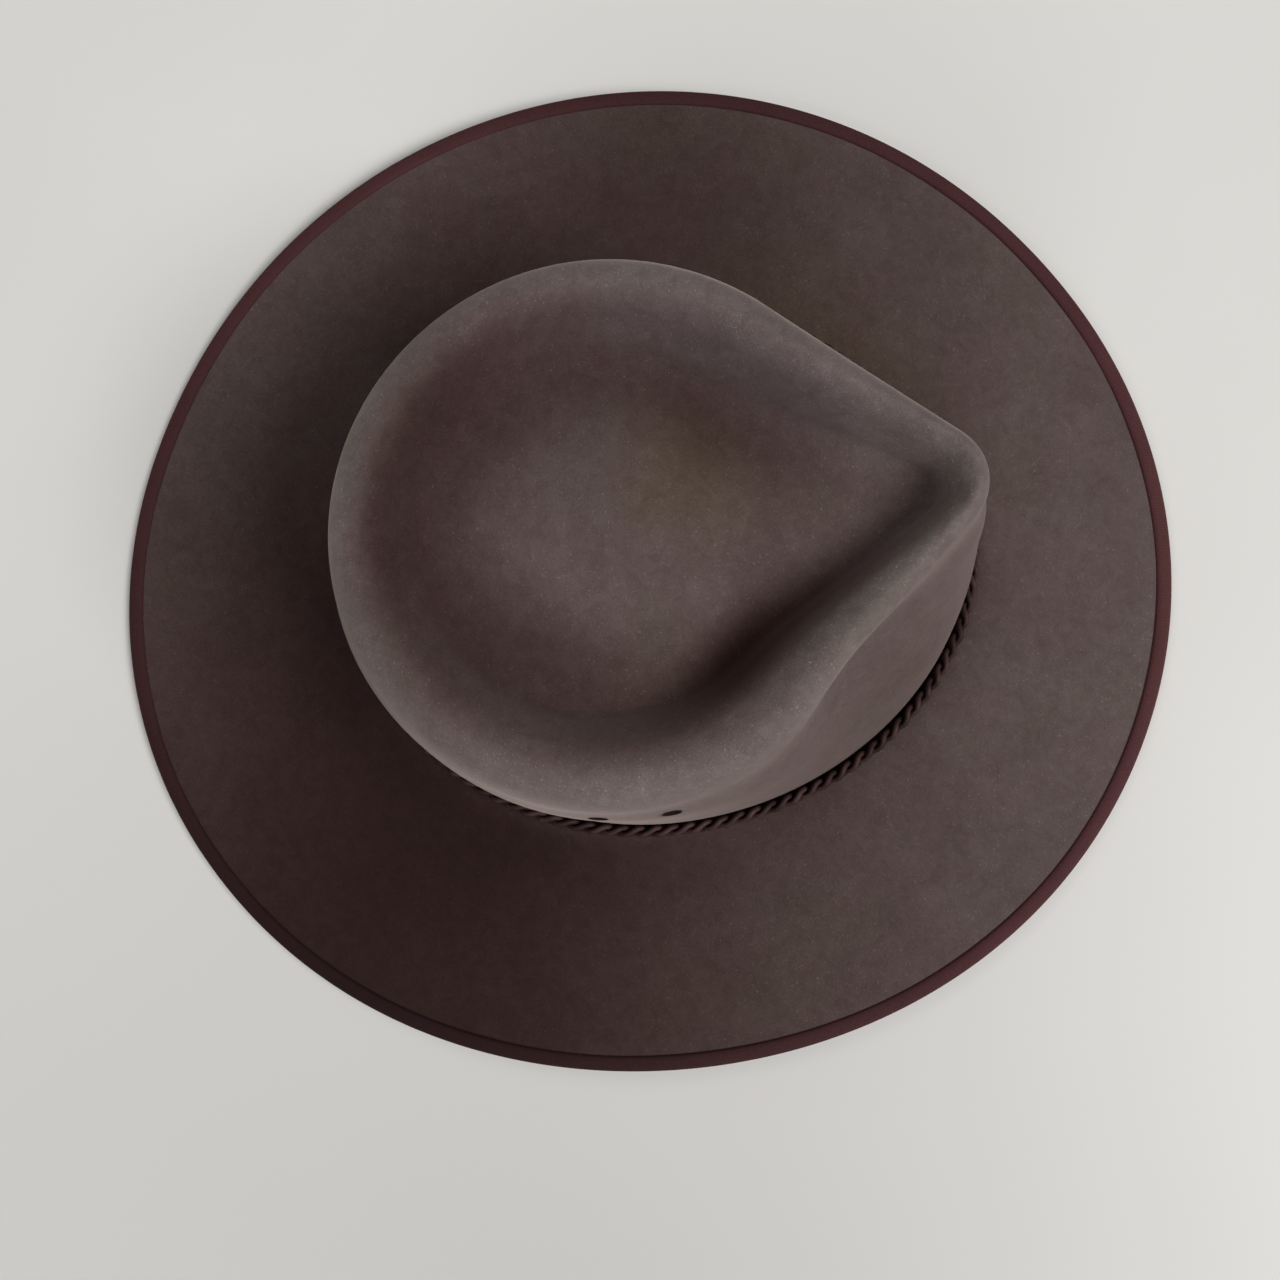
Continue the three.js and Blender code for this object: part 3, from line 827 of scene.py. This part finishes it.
def cut(piece, cutter):
    """Cuts one object out of another, keeps the cut's edges sharp and removes the cutter."""
    modifier = piece.modifiers.new("cut", "BOOLEAN")
    modifier.operation = "DIFFERENCE"
    modifier.solver = "EXACT"
    modifier.object = cutter
    scene_state = bpy.context.evaluated_depsgraph_get()
    result = bpy.data.meshes.new_from_object(piece.evaluated_get(scene_state))
    result.set_sharp_from_angle(angle=SHARP_ANGLE)
    piece.modifiers.clear()
    old = piece.data
    piece.data = result
    bpy.data.meshes.remove(old)
    bpy.data.objects.remove(cutter)


def make_felt(outer, inner, material):
    """Crown and brim in one piece of felt, with its inside and its vents."""
    rows, columns = outer.shape[:2]
    count = rows * columns
    top = hat_point(np.zeros(1), 0, BRIM_CROWN_TOP + DOME_HEIGHT)
    points = np.concatenate([outer.reshape(-1, 3), inner.reshape(-1, 3), top, top - (0, 0, FELT_THICKNESS)])
    faces = net_faces(rows, columns).tolist()
    faces += net_faces(rows, columns, count)[:, ::-1].tolist()
    last = (rows - 1) * columns
    for column in range(columns):
        after = (column + 1) % columns
        faces.append([column, count + column, count + after, after])
        faces.append([last + column, last + after, 2 * count])
        faces.append([count + last + after, count + last + column, 2 * count + 1])
    felt = make_mesh("felt", points, faces, material)
    # The outer face's tone is painted light and shade, and its red and blue leans are painted tints of light
    # and shade
    tone = np.full(len(points), INSIDE_TONE)
    tone[:count] = painted_felt_tones(column_angles(COLUMN_COUNT)).ravel()
    tone[2 * count] = DOME_SECTIONS[-1].front_tone
    store(felt, "tone", tone)
    for name, patches in (("blue", BLUE_PATCHES), ("red", RED_PATCHES)):
        lean = np.zeros(len(points))
        lean[:count] = patches_net(patches).ravel()
        store(felt, name, lean)
    cut(felt, vent_cutter())
    return felt


def make_hairs(outer, hairs, material):
    """Fine curved hairs scattered evenly over the felt's outer face, as flat strips."""
    random = np.random.default_rng(hairs.seed)
    corner = outer[:-1]
    after = np.roll(corner, -1, axis=1)
    inward = outer[1:]
    area = np.linalg.norm(np.cross(after - corner, inward - corner), axis=-1)
    pick = random.choice(area.size, hairs.count, p=area.ravel() / area.sum())
    row, column = np.unravel_index(pick, area.shape)
    share = random.random((hairs.count, 2, 1))
    root = corner[row, column]
    root = root + share[:, 0] * (after[row, column] - root) + share[:, 1] * (inward[row, column] - root)
    normal = net_normals(outer)[row, column]
    turn = random.random((hairs.count, 1)) * 2 * pi
    slanted = (0, 0.6, 0.8)
    side = np.cross(normal, slanted)
    side /= np.linalg.norm(side, axis=1, keepdims=True)
    along = np.cos(turn) * side + np.sin(turn) * np.cross(normal, side)
    bend = np.cross(normal, along)
    length = hairs.shortest + random.random((hairs.count, 1)) * (hairs.longest - hairs.shortest)
    curl = random.uniform(-HAIR_CURL, HAIR_CURL, (hairs.count, 1))
    rise = hairs.lift * random.random((hairs.count, 1))
    points = []
    for step in np.linspace(0, 1, HAIR_STEPS):
        arch = rise * step * (1 + HAIR_TIP_RISE - step)
        centre = root + length * (step * along + curl * step**2 * bend + arch * normal)
        centre = centre + HAIR_CLEARANCE * normal
        width = hairs.half_width * (1 - HAIR_TAPER * step)
        points += [centre - width * bend, centre + width * bend]
    points = np.stack(points, axis=1)
    first = 2 * HAIR_STEPS * np.arange(hairs.count)[:, None, None] + 2 * np.arange(HAIR_STEPS - 1)[:, None]
    faces = (first + np.array([0, 1, 3, 2])).reshape(-1, 4)
    piece = make_mesh(hairs.name, points, faces.tolist(), material)
    # Each hair carries the felt's painted light and shade where it grows, made lighter
    tone = painted_felt_tones(column_angles(COLUMN_COUNT))[row, column] * hairs.lightness
    store(piece, "tone", np.repeat(tone, 2 * HAIR_STEPS))
    return piece


def sweep(name, rings, material):
    """Closed tube through rings of points that run all round the hat."""
    steps, sides = rings.shape[:2]
    index = np.arange(steps * sides).reshape(steps, sides)
    next_side = np.roll(index, -1, axis=1)
    next_step = np.roll(index, -1, axis=0)
    far_corner = np.roll(next_side, -1, axis=0)
    quads = np.stack([index, next_step, far_corner, next_side], axis=-1).reshape(-1, 4)
    return make_mesh(name, rings, quads.tolist(), material)


def lengths_along(radius_at):
    """Angles round a closed outline, with the length along it up to each of them."""
    angle = np.linspace(0, 2 * pi, LENGTH_STEPS + 1)
    path = hat_point(angle, radius_at(angle), 0)
    steps = np.linalg.norm(np.diff(path, axis=0), axis=1)
    return angle, np.concatenate([[0], np.cumsum(steps)])


def even_angles(radius_at, count):
    """Angles at equal steps along a closed outline."""
    angle, lengths = lengths_along(radius_at)
    return np.interp(np.arange(count) / count * lengths[-1], lengths, angle)


def binding_section():
    """Section of the folded ribbon: outward distance, height, and how deep the ribs are at each point."""
    edge = -RIBBON_COVER
    flat = -RIBBON_FLAT_START
    bend = RIBBON_BEND_RADIUS
    over_felt = BRIM_EDGE_TOP + PIECE_GAP
    top = over_felt + RIBBON_THICKNESS
    turns = np.linspace(0, 1, RIBBON_BEND_STEPS) * pi / 2
    points = [(edge, 0, 0.6), (edge + 0.5, 0, 1), (flat, 0, 1)]
    for turn in turns:
        points.append((-bend + bend * sin(turn), bend - bend * cos(turn), 1))
    for turn in turns:
        points.append((-bend + bend * cos(turn), top - bend + bend * sin(turn), 1))
    points += [(flat, top, 1), (edge + 0.9, top - 0.15, 1)]
    points += [(edge, BRIM_EDGE_TOP + 0.25, 0.3), (edge, BRIM_EDGE_TOP + 0.05, 0)]
    points += [(-RIBBON_THICKNESS, over_felt, 0), (-RIBBON_THICKNESS, RIBBON_THICKNESS, 0)]
    points += [(edge, RIBBON_THICKNESS - 0.05, 0)]
    return np.array(points)


def make_binding(material):
    """Ribbed ribbon folded over the brim's edge all round."""
    _, lengths = lengths_along(brim_radius)
    ribs = round(lengths[-1] / RIB_PITCH)
    angle = even_angles(brim_radius, ribs * RIB_STEPS)
    section = binding_section()
    middle = np.array([-RIBBON_COVER / 2, (BRIM_EDGE_TOP + PIECE_GAP + RIBBON_THICKNESS) / 2])
    away = section[:, :2] - middle
    away[:, 0] *= 0.2
    away /= np.linalg.norm(away, axis=1, keepdims=True)
    phase = np.arange(len(angle)) / RIB_STEPS * 2 * pi
    valley = RIB_DEPTH * (0.5 - 0.5 * np.cos(phase))
    sunk = valley[:, None] * section[:, 2]
    outward = section[:, 0] - sunk * away[:, 0]
    height = section[:, 1] - sunk * away[:, 1]
    height = np.maximum(height, 0)
    rings = hat_point(angle[:, None], brim_radius(angle)[:, None] + outward, 0)
    rings[..., 2] = height + edge_lift(angle)[:, None]
    binding = sweep("binding", rings, material)
    # The brim's painted light and shade, carried onto the ribbon by its share
    tone = np.repeat(np.exp(RIBBON_PAINTED_LIGHT_SHARE * patch_strength(angle, BRIM_PATCHES)), len(section))
    store(binding, "tone", tone)
    return binding


def squared(value, power):
    """Sine or cosine that stays near its ends for longer, the more so the smaller the power."""
    return np.sign(value) * np.abs(value) ** power


def make_band(material):
    """Braid of flat leather straps round the foot of the crown."""
    steps = BRAID_PERIODS * STRAP_STEPS
    swing = BAND_HALF_HEIGHT - STRAP_HALF_WIDTH
    outward = BAND_SEAT_GAP + BAND_HALF_THICKNESS
    middle_height = BRIM_CROWN_TOP + BAND_FOOT_GAP + BAND_HALF_HEIGHT
    angle = even_angles(lambda along_base: base_radius(along_base) + outward, steps)
    phase = np.arange(steps) / STRAP_STEPS * 2 * pi
    side_turn = np.linspace(0, 2 * pi, STRAP_SIDES, endpoint=False)
    across = STRAP_HALF_WIDTH * squared(np.cos(side_turn), STRAP_WIDTH_POWER)
    through = STRAP_HALF_THICKNESS * squared(np.sin(side_turn), STRAP_THICKNESS_POWER)
    straps = []
    for strap in range(STRAP_COUNT):
        turn = phase + strap * 2 * pi / STRAP_COUNT
        radius = base_radius(angle) + outward + STRAP_DEPTH_SWING * np.sin(2 * turn)
        path = hat_point(angle, radius, 0)
        path[:, 2] = middle_height + swing * np.sin(turn)
        along = np.roll(path, -1, axis=0) - np.roll(path, 1, axis=0)
        along /= np.linalg.norm(along, axis=1, keepdims=True)
        out = hat_point(angle, 1, 0) - hat_point(angle, 0, 0)
        beside = np.cross(out, along)
        beside /= np.linalg.norm(beside, axis=1, keepdims=True)
        out = np.cross(along, beside)
        rings = path[:, None] + across[:, None] * beside[:, None] + through[:, None] * out[:, None]
        straps.append(sweep(f"band_strap_{strap + 1}", rings, material))
    return straps


def picture_directions():
    """The picture's right and up directions, laid flat on the table."""
    right = Vector((-sin(HAT_YAW), -cos(HAT_YAW), 0))
    up = Vector((cos(HAT_YAW), -sin(HAT_YAW), 0))
    return right, up


def make_camera():
    """Camera almost above the hat, at the photograph's viewing angle."""
    right, up = picture_directions()
    data = bpy.data.cameras.new("camera")
    data.sensor_fit = "HORIZONTAL"
    data.lens = data.sensor_width * FOCAL_PIXELS / PICTURE_PIXELS
    data.clip_start = NEAR_CLIP * MM
    camera = add_object("camera", data)
    aim = (tan(AIM_RIGHT) * right + tan(AIM_UP) * up - Vector((0, 0, 1))).normalized()
    side = (right - right.dot(aim) * aim).normalized()
    over = side.cross(aim)
    place = CAMERA_RIGHT * right + CAMERA_UP * up
    place += Vector((-MIDDLE_X, -MIDDLE_Y, CAMERA_HEIGHT))
    rotation = Matrix((side, over, -aim)).transposed().to_4x4()
    camera.matrix_world = Matrix.Translation(place * MM) @ rotation
    bpy.context.scene.camera = camera


def make_lights():
    """Soft studio light: area lamps and an even surround."""
    right, up = picture_directions()
    for lamp in LAMPS:
        azimuth = radians(lamp.azimuth)
        elevation = radians(lamp.elevation)
        flat = cos(azimuth) * right + sin(azimuth) * up
        direction = cos(elevation) * flat + sin(elevation) * Vector((0, 0, 1))
        data = bpy.data.lights.new(lamp.name, "AREA")
        data.shape = "DISK"
        data.size = lamp.size
        data.energy = lamp.power
        light = add_object(lamp.name, data)
        light.location = direction * lamp.distance
        light.rotation_euler = direction.to_track_quat("Z", "Y").to_euler()
        light.visible_camera = False
    world = bpy.data.worlds.new("surround")
    world.use_nodes = True
    background = world.node_tree.nodes["Background"]
    set_inputs(background, {"Color": WORLD_COLOUR, "Strength": WORLD_STRENGTH})
    bpy.context.scene.world = world


def make_table(material):
    """Large flat table top under the hat."""
    half = TABLE_HALF_SIZE
    corners = [(-half, -half, 0), (half, -half, 0), (half, half, 0), (-half, half, 0)]
    return make_mesh("table", corners, [[0, 1, 2, 3]], material)


make_camera()
make_lights()
bpy.context.scene.view_settings.view_transform = "Standard"

outer_net, inner_net = felt_nets()
felt = make_felt(outer_net, inner_net, felt_material())
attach(felt, "root")
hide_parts("felt_body")

loose = hair_material()
for hairs in (NAP_HAIRS, LINT_HAIRS):
    hair_piece = make_hairs(outer_net, hairs, loose)
    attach(hair_piece, "root")

binding = make_binding(ribbon_material())
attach(binding, "root")
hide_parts("brim_binding")

band_straps = make_band(leather_material())
for strap in band_straps:
    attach(strap, "root")
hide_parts("hat_band")

make_table(table_material())
